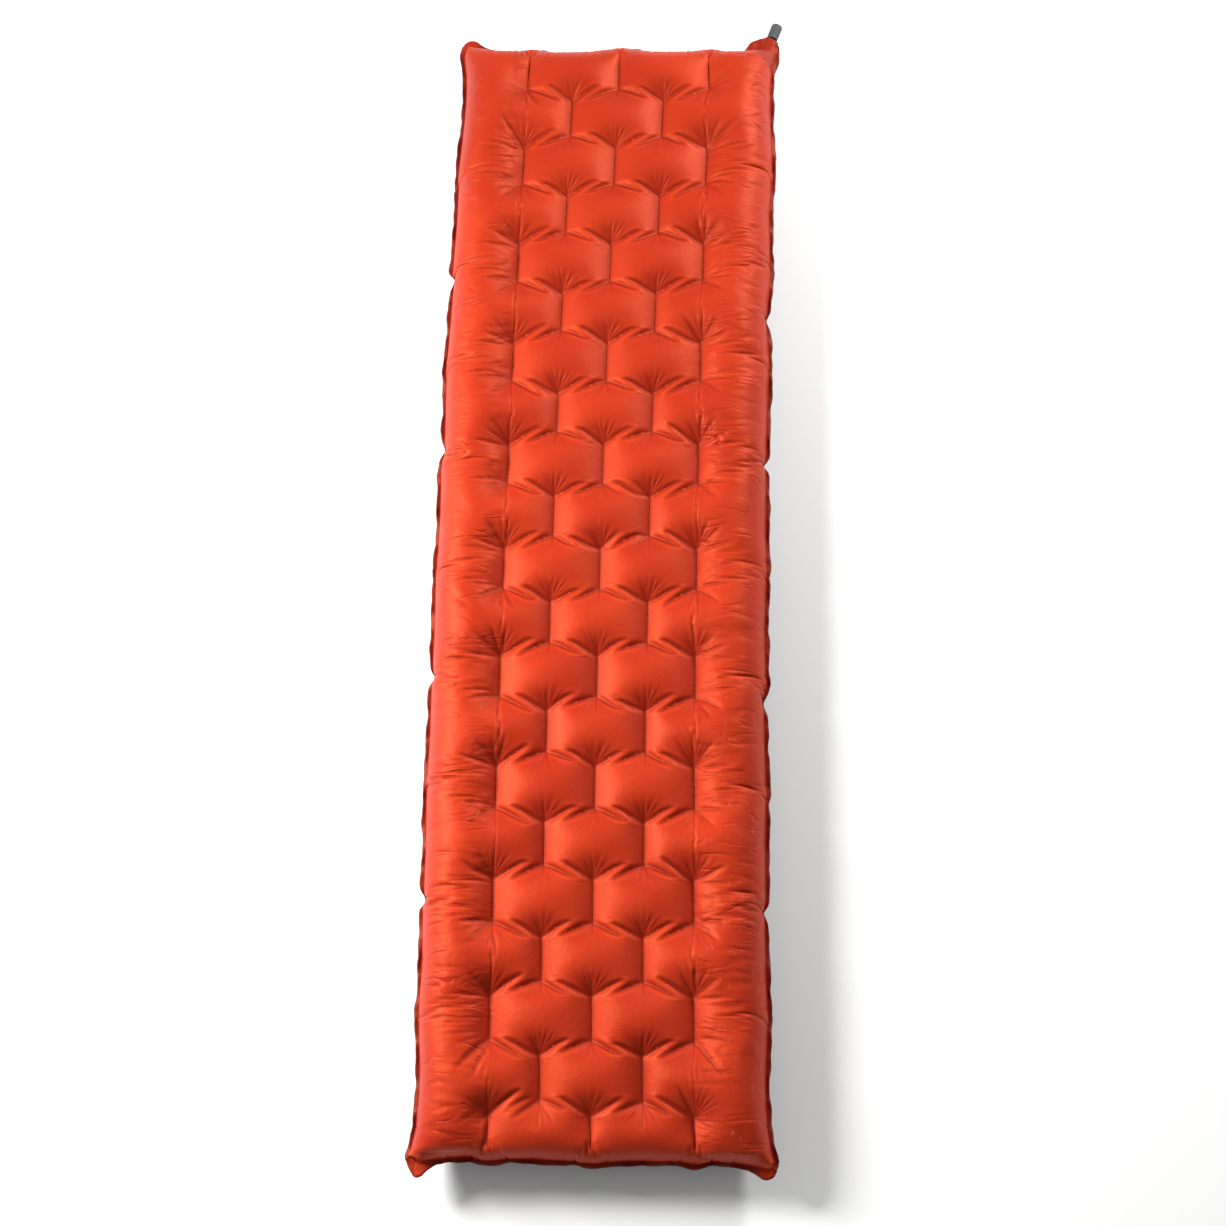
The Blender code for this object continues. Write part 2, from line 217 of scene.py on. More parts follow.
def lay_sheet(refine):
    """The start shape of the top panel, as 3 x rows x columns, with what the solver needs."""
    across, plan_x, full_x, crest, columns = lay_columns(refine)
    along, plan_y, full_y, spans = lay_rows(refine)
    x, y = np.meshgrid(plan_x, plan_y)
    held = np.zeros(x.shape, bool)
    distance = np.ones(x.shape)
    for row in range(ROWS):
        low, high = row_span(row)
        for column in row_columns(row):
            held[spans[row][0]:spans[row][1] + 1, columns[column]] = True
            beyond = np.maximum(np.maximum(low - y, y - high), 0)
            distance = np.minimum(distance, np.hypot(x - column * COLUMN_PITCH, beyond))
    pillow = np.sqrt(1 - (1 - np.clip(distance / PILLOW_REACH, 0, 1)) ** 2)
    limit = (CROWN + (CREST - CROWN) * crest[None, :]) * full_x[None, :] * full_y[:, None]
    z = np.where(limit > WELD_RISE, WELD_RISE + (limit - WELD_RISE) * pillow, limit)
    z[held] = WELD_RISE
    tucks = [(side, np.flatnonzero(np.abs(plan_y - place) < TUCK_HALF)) for side, place in RIM_TUCKS]
    return {"points": np.stack([x, y, z]).astype(np.float32), "held": held, "across": across,
            "along": along, "columns": columns, "spans": spans, "tucks": tucks}


def finer(points, times):
    """The same sheet with more thread lines, by straight interpolation."""
    for axis in (1, 2):
        count = points.shape[axis]
        place = np.arange((count - 1) * times + 1) / times
        first = np.minimum(place.astype(int), count - 2)
        share = (place - first).astype(np.float32)
        share = share[:, None] if axis == 1 else share
        points = np.take(points, first, axis) * (1 - share) + np.take(points, first + 1, axis) * share
    return points


def pull(a, b, free_a, free_b, length, share, only_short=False):
    """Moves two sets of points towards their cloth length."""
    gap = b - a
    now = np.sqrt(np.einsum("kij,kij->ij", gap, gap)) + 1e-9
    step = (now - length) / (now * (free_a + free_b + 1e-9))
    if only_short:
        np.minimum(step, 0, out=step)
    gap *= step * share
    a += gap * free_a
    b -= gap * free_b


def pull_lines(points, free, lengths, share, reach=1, only_short=False):
    """Pulls every point and the one `reach` thread lines away, across and along the sheet."""
    across, along = lengths
    stride = 2 * reach
    for o in range(stride):
        a, b = points[:, :, o:-reach:stride], points[:, :, o + reach::stride]
        m = min(a.shape[2], b.shape[2])
        pull(a[:, :, :m], b[:, :, :m], free[:, o:-reach:stride][:, :m], free[:, o + reach::stride][:, :m],
             across[:, o::stride][:, :m], share, only_short)
    for o in range(stride):
        a, b = points[:, o:-reach:stride], points[:, o + reach::stride]
        m = min(a.shape[1], b.shape[1])
        pull(a[:, :m], b[:, :m], free[o:-reach:stride][:m], free[o + reach::stride][:m],
             along[o::stride][:m], share, only_short)


def pull_diagonals(points, free, lengths, share):
    """Pulls the two diagonals of every cell."""
    for o in (0, 1):
        for left, right in ((slice(None, -1), slice(1, None)), (slice(1, None), slice(None, -1))):
            a, b = points[:, o:-1:2, left], points[:, o + 1::2, right]
            m = min(a.shape[1], b.shape[1])
            pull(a[:, :m], b[:, :m], free[o:-1:2, left][:m], free[o + 1::2, right][:m],
                 lengths[o::2][:m], share)


def blow_up(sheet, points, steps, pressure, rounds, stiffness, jitter, damping=0.97, fastest=0.8 * MM):
    """Blows the sheet up against its welds and its seam, which stays on the seam plane."""
    rng = np.random.default_rng(RANDOM_SEED)
    held = sheet["held"]
    free = np.where(held, 0, 1).astype(np.float32)
    points = points + rng.normal(0, jitter, points.shape).astype(np.float32) * free
    welds = sheet["points"][:, held]
    points[:, held] = welds
    across = np.abs(np.diff(sheet["across"])).astype(np.float32)[None, :]
    along = np.abs(np.diff(sheet["along"])).astype(np.float32)[:, None]
    cell = 4 * float(across.mean() * along.mean())
    diagonal = np.sqrt(across ** 2 + along ** 2)
    double = (across[:, :-1] + across[:, 1:], along[:-1] + along[1:])
    before = points.copy()
    for _ in range(steps):
        speed = np.clip((points - before) * damping, -fastest, fastest)
        before = points.copy()
        across_way, along_way = np.empty_like(points), np.empty_like(points)
        across_way[:, :, 1:-1] = points[:, :, 2:] - points[:, :, :-2]
        across_way[:, :, 0] = points[:, :, 1] - points[:, :, 0]
        across_way[:, :, -1] = points[:, :, -1] - points[:, :, -2]
        along_way[:, 1:-1] = points[:, :-2] - points[:, 2:]
        along_way[:, 0] = points[:, 0] - points[:, 1]
        along_way[:, -1] = points[:, -2] - points[:, -1]
        outward = np.cross(across_way, along_way, axis=0)
        points += (speed + outward * (pressure / cell)) * free
        for _ in range(rounds):
            pull_lines(points, free, (across, along), 1.0)
            pull_diagonals(points, free, diagonal, 0.9)
        pull_lines(points, free, double, stiffness, reach=2, only_short=True)
        points[:, held] = welds
        points[2, [0, -1], :] = 0
        points[2, :, [0, -1]] = 0
        np.maximum(points[2], 0, out=points[2])
        for side, lines in sheet["tucks"]:
            edge, limit = (-1 if side > 0 else 0), HALF_WIDTH - TUCK_DEPTH
            points[0, lines, edge] = side * np.minimum(side * points[0, lines, edge], limit)
    return points


def inflate():
    """The blown-up top panel: coarse first, then fine."""
    coarse = lay_sheet(1)
    points = blow_up(coarse, coarse["points"], steps=250, pressure=4e-5, rounds=4, stiffness=0.02,
                     jitter=0.3 * MM)
    fine = lay_sheet(REFINE)
    points = blow_up(fine, finer(points, REFINE), steps=400, pressure=1.5e-5, rounds=6,
                     stiffness=0.006, jitter=0.5 * MM)
    return fine, points


# Finishing the sheet


def ease_folds(points, held):
    """Rounds the sharpest folds, where the cloth would cut through itself."""
    for _ in range(2):
        around = (points[:, :-2, 1:-1] + points[:, 2:, 1:-1]
                  + points[:, 1:-1, :-2] + points[:, 1:-1, 2:]) / 4
        step = around - points[:, 1:-1, 1:-1]
        sharp = np.clip(np.linalg.norm(step, axis=0) / (0.8 * MM) - 0.4, 0, 1) * 0.6
        points[:, 1:-1, 1:-1] += step * np.where(held[1:-1, 1:-1], 0, sharp)
    return points


def smoothed(values, reach):
    """Running mean over a list of places."""
    padded = np.pad(values, reach, mode="edge")
    return np.convolve(padded, np.ones(2 * reach + 1) / (2 * reach + 1), mode="valid")


def fit_rim(points):
    """Brings the seam's mean line to its place; the ruffles on it stay."""
    refine = (points.shape[2] - 1) // (2 * (2 * CELLS_COLUMN + CELLS_SIDE))
    reach = 20 * refine
    for side, edge in ((-1, 0), (1, -1)):
        shift = side * (HALF_WIDTH - 0.5 * MM) - smoothed(points[0, :, edge], reach)
        start = 2 * COLUMN_PITCH
        share = np.clip((side * points[0] - start) / (HALF_WIDTH - start), 0, 1.05) ** 1.5
        points[0] += shift[:, None] * share
    for seam, edge in ((HEAD_SEAM, 0), (FOOT_SEAM, -1)):
        start = row_span(0)[1] if edge == 0 else row_span(ROWS - 1)[0]
        shift = seam - smoothed(points[1, edge], reach)
        share = np.clip((points[1] - start) / (seam - start), 0, 1.2)
        points[1] += shift[None, :] * share
    points[0] += bow(points[1])
    return points


def normals_of(points):
    """Unit normals of the sheet's points."""
    across = np.gradient(points, axis=2)
    along = -np.gradient(points, axis=1)
    normal = np.cross(across, along, axis=0)
    return normal / (np.linalg.norm(normal, axis=0) + 1e-12)


FAN_STEP = math.radians(18)  # angle between two creases of a fan
FAN_REACH = (0.003, 0.020, 0.050)  # where a fan starts, is strongest and ends
FAN_DEPTH = 0.50 * MM
FULL_DEPTH_AT = 0.024  # nearer to the weld the creases are narrower and shallower


def gather_fans(sheet, points):
    """Creases that fan out of both ends of every weld, where the cloth gathers: turn and share."""
    rng = np.random.default_rng(RANDOM_SEED + 1)
    turns, shares, second = (np.zeros(points.shape[1:]) for _ in range(3))
    near, strongest, far = FAN_REACH
    for row, (head_line, foot_line) in enumerate(sheet["spans"]):
        for column in row_columns(row):
            i = sheet["columns"][column]
            for line, way, strength in ((head_line, 1, 1.0), (foot_line, -1, 0.7)):
                x0, y0 = points[0, line, i], points[1, line, i]
                bend, phase = rng.uniform(0, math.tau, 2)
                reach = np.hypot(points[0] - x0, points[1] - y0)
                lines = np.flatnonzero(reach.min(axis=1) < far)
                part = slice(lines[0], lines[-1] + 1)
                r = reach[part]
                angle = np.arctan2(points[0, part] - x0, way * (points[1, part] - y0))
                share = np.clip((r - near) / (strongest - near), 0, 1)
                share = share * np.clip((far - r) / (far - strongest), 0, 1)
                share = share * share * (3 - 2 * share) * np.clip(r / FULL_DEPTH_AT, 0, 1)
                share *= strength * np.clip((math.radians(84) - np.abs(angle)) / math.radians(16), 0, 1)
                turn = angle / FAN_STEP + 0.35 * np.sin(2.1 * angle + bend) + phase / math.tau + 20
                first = share > shares[part]
                second[part] = np.maximum(second[part], np.minimum(share, shares[part]))
                turns[part] = np.where(first, turn, turns[part])
                shares[part] = np.where(first, share, shares[part])
    # two fans that meet fade out before they touch
    return turns, np.clip((shares - 1.4 * second - 0.06) / 0.9, 0, 1)


def pleat_fans(points, turns, shares):
    """Presses the fans' creases into the sheet."""
    crease = np.abs(np.sin(math.pi * turns)) - 0.6 + 0.30 * np.sin(1.35 * turns)
    return points + normals_of(points) * (FAN_DEPTH * shares * crease)


def side_share(points):
    """How strongly each place gathers across the side chambers: most between outer welds and rim."""
    out = (np.abs(points[0] - bow(points[1])) - 2 * COLUMN_PITCH) / (HALF_WIDTH - 2 * COLUMN_PITCH)
    return np.clip((out + 0.10) / 0.25, 0, 1) * np.clip((1.12 - out) / 0.35, 0, 1)


def cloudy(sheet, across, along, seed):
    """Smooth random values from 0 to 1 on the flat cloth, from cells of the given size."""
    u = (sheet["across"] - sheet["across"].min()) / across
    v = (sheet["along"].max() - sheet["along"]) / along
    first_u, first_v = u.astype(int), v.astype(int)
    table = np.random.default_rng(RANDOM_SEED + seed).uniform(0, 1, (first_v.max() + 2, first_u.max() + 2))
    share_u, share_v = u - first_u, (v - first_v)[:, None]
    share_u, share_v = (t * t * (3 - 2 * t) for t in (share_u, share_v))
    low = table[first_v][:, first_u] * (1 - share_u) + table[first_v][:, first_u + 1] * share_u
    high = table[first_v + 1][:, first_u] * (1 - share_u) + table[first_v + 1][:, first_u + 1] * share_u
    return low * (1 - share_v) + high * share_v


WRINKLE_DEPTH = 1.1 * MM


def wrinkle_sides(sheet, points, sides):
    """Long wrinkles across the side chambers, along the lines where a stretched noise is at its middle."""
    height = 0.7 * cloudy(sheet, 0.075, 0.019, 3) + 0.3 * cloudy(sheet, 0.030, 0.012, 4)
    valley = np.clip(np.abs(height - 0.5) / 0.13, 0, 1) - 1
    patch = np.clip((cloudy(sheet, 0.060, 0.055, 5) - 0.35) / 0.25, 0, 1)
    clear = np.clip((HALF_WIDTH - 4 * MM - np.abs(points[0] - bow(points[1]))) / (10 * MM), 0, 1)
    return points + normals_of(points) * (WRINKLE_DEPTH * valley * patch * sides * clear)


# The cloth over the valve: high over the stem, then down to the weld base's thin edge
VALVE_BESIDE = (8.0 * MM, 13.2 * MM, 15.5 * MM)
VALVE_SWELL = (7.4 * MM, 1.8 * MM, 0)


def rise_over_valve(x, y):
    """How far the cloth is held off the seam plane over the valve's stem and its weld base."""
    gap_x, gap_y = x + CENTRE.x - VALVE_NECK.x, y + CENTRE.y - VALVE_NECK.y
    out = gap_x * VALVE_AXIS.x + gap_y * VALVE_AXIS.y
    beside = np.abs(gap_x * VALVE_AXIS.y - gap_y * VALVE_AXIS.x)
    swell = np.interp(beside, VALVE_BESIDE, VALVE_SWELL)
    return swell * np.clip((out + 0.054) / 0.012, 0, 1)


# Rim weld, ears and valve tab, outside the seam


# Outer edges of the four corners, in sheet coordinates, along the rim from left to right or
# from head to foot: rounded ears of spare cloth, and the cut-off tab that holds the valve
CORNERS = (
    ((-0.2500, 0.8880), (-0.2590, 0.9080), (-0.2600, 0.9300), (-0.2520, 0.9430), (-0.2380, 0.9480),
     (-0.2270, 0.9420), (-0.2180, 0.9320)),
    ((0.2150, 0.9330), (0.2220, 0.9380), (0.2465, 0.9510), (0.2585, 0.9450), (0.2690, 0.9380),
     (0.2730, 0.9020), (0.2640, 0.8890)),
    ((0.2640, -0.8660), (0.2755, -0.8800), (0.2775, -0.9000), (0.2690, -0.9190), (0.2540, -0.9210),
     (0.2420, -0.9110)),
    ((-0.2270, -0.9110), (-0.2360, -0.9250), (-0.2500, -0.9250), (-0.2590, -0.9100), (-0.2560, -0.8900),
     (-0.2510, -0.8750)),
)
TAB_LINE = 1.139  # x + y along the tab's inner edge
# the valve tab's darker colour, partly pressed weld cloth and partly painted shade: its strongest share and
# its soft edge
TAB_WELD_AND_SHADE = 0.60
TAB_BLEND = 3 * MM


def rounded(outline, times=3):
    """An open outline with its corners cut round."""
    points = [Vector(p) for p in outline]
    for _ in range(times):
        cut = [points[0]]
        for a, b in zip(points, points[1:]):
            cut += [a.lerp(b, 0.25), a.lerp(b, 0.75)]
        points = cut + [points[-1]]
    return points


def ring_of(rows, columns):
    """Grid places along the seam: head edge, right side, foot edge, left side."""
    ring = [(0, i) for i in range(columns)] + [(j, columns - 1) for j in range(1, rows)]
    ring += [(rows - 1, i) for i in range(columns - 2, -1, -1)]
    return ring + [(j, 0) for j in range(rows - 2, 0, -1)]


def evened(ring, reach):
    """Running mean round a closed ring of points."""
    return sum(np.roll(ring, k, axis=0) for k in range(-reach, reach + 1)) / (2 * reach + 1)


def outward_ways(seam, reach):
    """Directions out of the seam, fanned out round the corners."""
    run = np.roll(seam, -2, axis=0) - np.roll(seam, 2, axis=0)
    way = np.stack([-run[:, 1], run[:, 0]], axis=1)
    way /= np.linalg.norm(way, axis=1, keepdims=True) + 1e-12
    total = evened(way, reach)
    return total / np.linalg.norm(total, axis=1, keepdims=True)


def corner_reach(seam, ways):
    """Distance from each seam point to a corner's outer edge, or 0 beside none."""
    reach = np.zeros(len(seam))
    for outline in CORNERS:
        points = np.array(rounded(outline))
        near = np.flatnonzero(np.hypot(*(seam - points.mean(axis=0)).T) < 0.07)
        for k in near:
            for a, b in zip(points, points[1:]):
                edge, gap = b - a, a - seam[k]
                cross = ways[k][0] * edge[1] - ways[k][1] * edge[0]
                if abs(cross) < 1e-12:
                    continue
                out = (gap[0] * edge[1] - gap[1] * edge[0]) / cross
                share = (gap[0] * ways[k][1] - gap[1] * ways[k][0]) / cross
                if 0 <= share <= 1 and 0 < out < 0.05:
                    reach[k] = max(reach[k], out)
    return reach


def rim_lines(points, extra):
    """Seam ring and the lines of the rim weld outside it, in sheet coordinates, as x, y and ripple."""
    rows, columns = points.shape[1:]
    ring = ring_of(rows, columns)
    seam = np.array([points[:2, j, i] for j, i in ring], dtype=float)
    refine = (columns - 1) // (2 * (2 * CELLS_COLUMN + CELLS_SIDE))
    base = evened(seam, refine)
    ways = outward_ways(base, 4 * refine)
    length = np.concatenate([[0], np.cumsum(np.linalg.norm(np.diff(seam, axis=0), axis=1))])
    rng = np.random.default_rng(RANDOM_SEED + 2)
    ripple, waver = np.zeros(len(seam)), np.zeros(len(seam))
    total = length[-1]
    for wave in RIPPLE_WAVES:
        turns = round(total / wave)
        size, phase = math.sqrt(wave / 0.13), rng.uniform(0, math.tau)
        ripple += size * np.sin(length * math.tau * turns / total + phase)
        waver += np.sin(length * math.tau * (turns + 7) / total + rng.uniform(0, math.tau))
    tuck = np.zeros(len(seam))
    for side, place in RIM_TUCKS:
        beside = (seam[:, 0] * side > 0) & (np.abs(seam[:, 1]) < 0.85)
        tuck = np.maximum(tuck, np.where(beside, np.exp(-((seam[:, 1] - place) / TUCK_FADE) ** 2), 0))
    width = RIM_WIDTH * (1 + 0.10 * waver) * (1 - 0.75 * tuck)
    width *= np.where(seam[:, 1] > HEAD_SEAM - 0.02, HEAD_RIM, 1.0)
    width = np.maximum(width, corner_reach(base, ways))
    width = np.maximum(evened(width, refine), NARROWEST_RIM)
    lines = []
    for share in RIM_SHARES:
        reach = (width + (extra if share == 1.0 else 0)) * share
        out = seam + (base - seam) * share + ways * reach[:, None]
        # the rim doesn't ruffle where it lies on the valve
        calm = 1 - np.clip(rise_over_valve(out[:, 0], out[:, 1]) / (3 * MM), 0, 1)
        lines.append(np.column_stack([out, RIM_RIPPLE * ripple * calm * share ** 2]))
    return ring, np.column_stack([seam, np.zeros(len(seam))]), lines, width


# Building the shells


def band(first, second):
    """Faces between two rings of the same length."""
    count = len(first)
    return [(first[k], first[(k + 1) % count], second[(k + 1) % count], second[k]) for k in range(count)]


def lining_faces(rows, columns, step, ring_place, inner_first, rim_first):
    """Faces of the coarse lining, which meets the fine ring at its edge."""
    wide, tall = (columns - 1) // step, (rows - 1) // step

    def index(j, i):
        if j in (0, rows - 1) or i in (0, columns - 1):
            return rim_first + ring_place[(j, i)]
        return inner_first + (j // step - 1) * (wide - 1) + i // step - 1

    def along(a, b):
        """Grid places from one corner of a cell up to the next: all of them on the ring, else one."""
        (ja, ia), (jb, ib) = a, b
        on_ring = (ja == jb and ja in (0, rows - 1)) or (ia == ib and ia in (0, columns - 1))
        if not on_ring:
            return [a]
        return [(ja + (jb - ja) * k // step, ia + (ib - ia) * k // step) for k in range(step)]

    faces = []
    for jc in range(tall):
        for ic in range(wide):
            j, i = jc * step, ic * step
            corners = [(j, i), (j, i + step), (j + step, i + step), (j + step, i)]
            places = []
            for a, b in zip(corners, corners[1:] + corners[:1]):
                places += along(a, b)
            faces.append([index(*place) for place in places])
    return faces


def panel_shell(name, sheet, points, side, marks, finish):
    """One panel with its half of the rim weld, as a closed shell: side is 1 for the top."""
    rows, columns = points.shape[1:]
    ring, seam, lines, width = rim_lines(points, 0 if side > 0 else DARK_EDGE)
    ring_place = {place: k for k, place in enumerate(ring)}
    lift = WELD_GAP + CLOTH_THICK
    x, y, z = points
    z = np.maximum(z, np.maximum(rise_over_valve(x, y) + CLOTH_THICK, lift))
    outer = np.stack([x, y, z]).reshape(3, -1).T

    def rim(line, thick):
        rise = np.maximum(rise_over_valve(line[:, 0], line[:, 1]), WELD_GAP) + thick
        return np.column_stack([line[:, 0], line[:, 1], rise + side * line[:, 2]])

    over = [rim(line, CLOTH_THICK) for line in lines]
    under = [rim(line, 0) for line in lines[::-1]] + [rim(seam, 0)]
    step = REFINE
    inside = normals_of(points) * -np.where(sheet["held"], LINING_DEPTH_HELD, LINING_DEPTH)
    lining = np.stack([x, y, z]) + inside
    lining[2] = np.maximum(lining[2], WELD_GAP)
    lining = lining[:, step:-1:step, step:-1:step].reshape(3, -1).T

    groups = [outer, *over, *under, lining]
    starts = np.cumsum([0] + [len(group) for group in groups])
    vertices = np.concatenate(groups)
    if side < 0:
        vertices[:, 2] = rest_on_ground(-vertices[:, 2])
    vertices += np.array(CENTRE)

    grid = np.arange(rows * columns).reshape(rows, columns)
    quads = np.stack([grid[:-1, :-1], grid[1:, :-1], grid[1:, 1:], grid[:-1, 1:]], -1).reshape(-1, 4)
    faces = quads.tolist()
    rings = [[grid[j, i] for j, i in ring]]
    rings += [list(range(starts[k], starts[k] + len(ring))) for k in range(1, 1 + len(over) + len(under))]
    for first, second in zip(rings, rings[1:]):
        faces += band(first, second)
    faces += lining_faces(rows, columns, step, ring_place, starts[-2], starts[-3])
    if side < 0:
        faces = [face[::-1] for face in faces]

    mesh = bpy.data.meshes.new(name)
    mesh.from_pydata(vertices.tolist(), [], faces)
    mesh.validate()
    flat_x, flat_y = np.meshgrid(sheet["across"], sheet["along"])
    flat = np.stack([flat_x, flat_y], -1).reshape(-1, 2)
    flat_ring = np.array([(flat_x[j, i], flat_y[j, i]) for j, i in ring])
    away = flat_ring / np.array([np.abs(flat_x).max(), np.abs(flat_y).max()])
    away = np.where(np.abs(away) > 0.9999, np.sign(away), 0)
    shares = [*RIM_SHARES, *RIM_SHARES[::-1], 0.0]
    cloth = [flat] + [flat_ring + away * (width * share)[:, None] for share in shares]
    cloth.append(np.stack([flat_x, flat_y], -1)[step:-1:step, step:-1:step].reshape(-1, 2))
    cloth = np.concatenate(cloth)
    layer = mesh.uv_layers.new(name="cloth")
    corners = np.empty(len(mesh.loops), np.int64)
    mesh.loops.foreach_get("vertex_index", corners)
    layer.data.foreach_set("uv", cloth[corners].astype(np.float32).ravel())
    for label, values in marks.items():
        set_attribute(mesh, label, np.concatenate([values.ravel(), np.zeros(len(vertices) - len(outer))]))
    # share of the rim's darker colour: full on the narrow rim, which turns down, less on the wide ears;
    # partly pressed weld cloth, partly painted shade
    narrow = np.clip(1.3 - (width - RIM_WIDTH) / (8 * MM), 0.25, 1)
    narrow = np.maximum(narrow, on_tab(seam[:, 0], seam[:, 1]))
    rim_share = [on_tab(x, y).ravel(), *[narrow] * (len(over) + len(under)), np.zeros(len(lining))]
    set_attribute(mesh, "rim", np.concatenate(rim_share))
    mesh.materials.append(finish)
    mesh.shade_smooth()
    return new_piece(name, mesh)


def on_tab(x, y):
    """Share of the tab's darker colour, partly pressed weld cloth and partly painted shade, which covers the
    corner beyond a slanting line.
    """
    beyond = (x + y - TAB_LINE) / math.sqrt(2)
    return TAB_WELD_AND_SHADE * np.clip(beyond / TAB_BLEND + 0.5, 0, 1)


def rest_on_ground(z):
    """Flattens what would reach under the ground, softly."""
    soft, clear = 1.2 * MM, 0.4 * MM
    above = z + MIDDLE
    return (above + np.sqrt(above * above + 4 * soft * soft)) / 2 + clear - MIDDLE


def ridges(points):
    """How far each point stands proud of its surroundings: positive on a ridge, negative in a crease."""
    around = points.copy()
    for _ in range(6):
        wide = np.pad(around, ((0, 0), (1, 1), (1, 1)), mode="edge")
        around = (wide[:, :-2, 1:-1] + wide[:, 2:, 1:-1] + wide[:, 1:-1, :-2] + wide[:, 1:-1, 2:]) / 4
    proud = ((points - around) * normals_of(points)).sum(axis=0)
    return np.clip(proud / (0.8 * MM), -1, 1)


def set_attribute(mesh, name, values):
    """Stores one number per point on a mesh."""
    layer = mesh.attributes.new(name, "FLOAT", "POINT")
    layer.data.foreach_set("value", np.asarray(values, np.float32))


def new_piece(name, mesh):
    """Links a mesh as a piece at the origin."""
    piece = bpy.data.objects.new(name, mesh)
    bpy.context.scene.collection.objects.link(piece)
    return piece


# Geometry Nodes


def add(tree, kind, values=None, links=None, **settings):
    """Adds a node with its settings, its sockets' values and its links."""
    node = tree.nodes.new(kind)
    for key, value in settings.items():
        setattr(node, key, value)
    for key, value in (values or {}).items():
        node.inputs[key].default_value = value
    for key, source in (links or {}).items():
        tree.links.new(source, node.inputs[key])
    return node


def new_tree(name, sizes):
    """A Geometry Nodes tree with named float inputs; returns it with its input and output nodes."""
    tree = bpy.data.node_groups.new(name, "GeometryNodeTree")
    tree.interface.new_socket("Geometry", in_out="INPUT", socket_type="NodeSocketGeometry")
    for label in sizes:
        tree.interface.new_socket(label, in_out="INPUT", socket_type="NodeSocketFloat")
    tree.interface.new_socket("Geometry", in_out="OUTPUT", socket_type="NodeSocketGeometry")
    return tree, tree.nodes.new("NodeGroupInput"), tree.nodes.new("NodeGroupOutput")


def grown(name, tree, sizes, base, finish):
    """The plain mesh that a tree makes of a base mesh, as a new piece."""
    carrier = new_piece(name + "_base", base)
    step = carrier.modifiers.new(name, "NODES")
    step.node_group = tree
    for item in tree.interface.items_tree:
        if item.item_type == "SOCKET" and item.in_out == "INPUT" and item.name in sizes:
            step[item.identifier] = sizes[item.name]
    bpy.context.view_layer.update()
    mesh = bpy.data.meshes.new_from_object(carrier.evaluated_get(bpy.context.evaluated_depsgraph_get()))
    carrier.modifiers.remove(step)
    bpy.data.objects.remove(carrier, do_unlink=True)
    mesh.name = name
    mesh.materials.clear()
    mesh.materials.append(finish)
    return new_piece(name, mesh)


def rounded_bar(tree, length, radius, sides=10, points=9):
    """Nodes for a bar along +Z with rounded ends; length and radius are sockets."""
    end = add(tree, "ShaderNodeCombineXYZ", links={"Z": length})
    line = add(tree, "GeometryNodeCurvePrimitiveLine", links={"End": end.outputs[0]})
    cut = add(tree, "GeometryNodeResampleCurve", {"Count": points}, {"Curve": line.outputs[0]})
    place = add(tree, "GeometryNodeSplineParameter")
    span = add(tree, "ShaderNodeMapRange", {"To Min": -1.0, "To Max": 1.0},
               {"Value": place.outputs["Factor"]})
    power = add(tree, "ShaderNodeMath", {1: 8.0}, operation="POWER")
    size = add(tree, "ShaderNodeMath", links={0: span.outputs[0]}, operation="ABSOLUTE")
    tree.links.new(size.outputs[0], power.inputs[0])
    rest = add(tree, "ShaderNodeMath", {0: 1.02}, {1: power.outputs[0]}, operation="SUBTRACT")
    root = add(tree, "ShaderNodeMath", links={0: rest.outputs[0]}, operation="SQRT")
    thick = add(tree, "ShaderNodeMath", links={0: root.outputs[0], 1: radius}, operation="MULTIPLY")
    circle = add(tree, "GeometryNodeCurvePrimitiveCircle", {"Resolution": sides, "Radius": 1.0})
    return add(tree, "GeometryNodeCurveToMesh", {"Fill Caps": True},
               {"Curve": cut.outputs[0], "Profile Curve": circle.outputs[0], "Scale": thick.outputs[0]})


def ended(tree, placed, end, finish):
    """Ends a tree: its instances made real, in their finish."""
    real = add(tree, "GeometryNodeRealizeInstances", links={"Geometry": placed.outputs[0]})
    coated = add(tree, "GeometryNodeSetMaterial", {"Material": finish}, {"Geometry": real.outputs[0]})
    tree.links.new(coated.outputs[0], end.inputs[0])
    return tree


GRIP_RIBS = 16


def grip_ribs_tree(finish):
    """Ribs that stand round the valve knob, one on each point of the base mesh."""
    tree, start, end = new_tree("grip ribs", ("Rib length", "Rib radius"))
    bar = rounded_bar(tree, start.outputs["Rib length"], start.outputs["Rib radius"])
    placed = add(tree, "GeometryNodeInstanceOnPoints",
                 links={"Points": start.outputs["Geometry"], "Instance": bar.outputs[0]})
    return ended(tree, placed, end, finish)


def weld_marks_tree(finish):
    """Pressed weld lines: one slim flat bar per point, as long as the point's own length."""
    tree, start, end = new_tree("weld marks", ("Mark width", "Mark height"))
    one = add(tree, "ShaderNodeValue")
    one.outputs[0].default_value = 1.0
    half = add(tree, "ShaderNodeValue")
    half.outputs[0].default_value = 0.5
    bar = rounded_bar(tree, one.outputs[0], half.outputs[0], sides=8, points=7)
    own = add(tree, "GeometryNodeInputNamedAttribute", {"Name": "length"}, data_type="FLOAT")
    size = add(tree, "ShaderNodeCombineXYZ", links={"X": start.outputs["Mark width"],
               "Y": start.outputs["Mark height"], "Z": own.outputs["Attribute"]})
    placed = add(tree, "GeometryNodeInstanceOnPoints", {"Rotation": (math.radians(90), 0, 0)},
                 {"Points": start.outputs["Geometry"], "Instance": bar.outputs[0], "Scale": size.outputs[0]})
    return ended(tree, placed, end, finish)


# Materials


def colour(hex_value):
    """An sRGB hex colour as linear RGBA."""
    parts = [int(hex_value[k:k + 2], 16) / 255 for k in (1, 3, 5)]
    return tuple(p / 12.92 if p <= 0.04045 else ((p + 0.055) / 1.055) ** 2.4 for p in parts) + (1.0,)


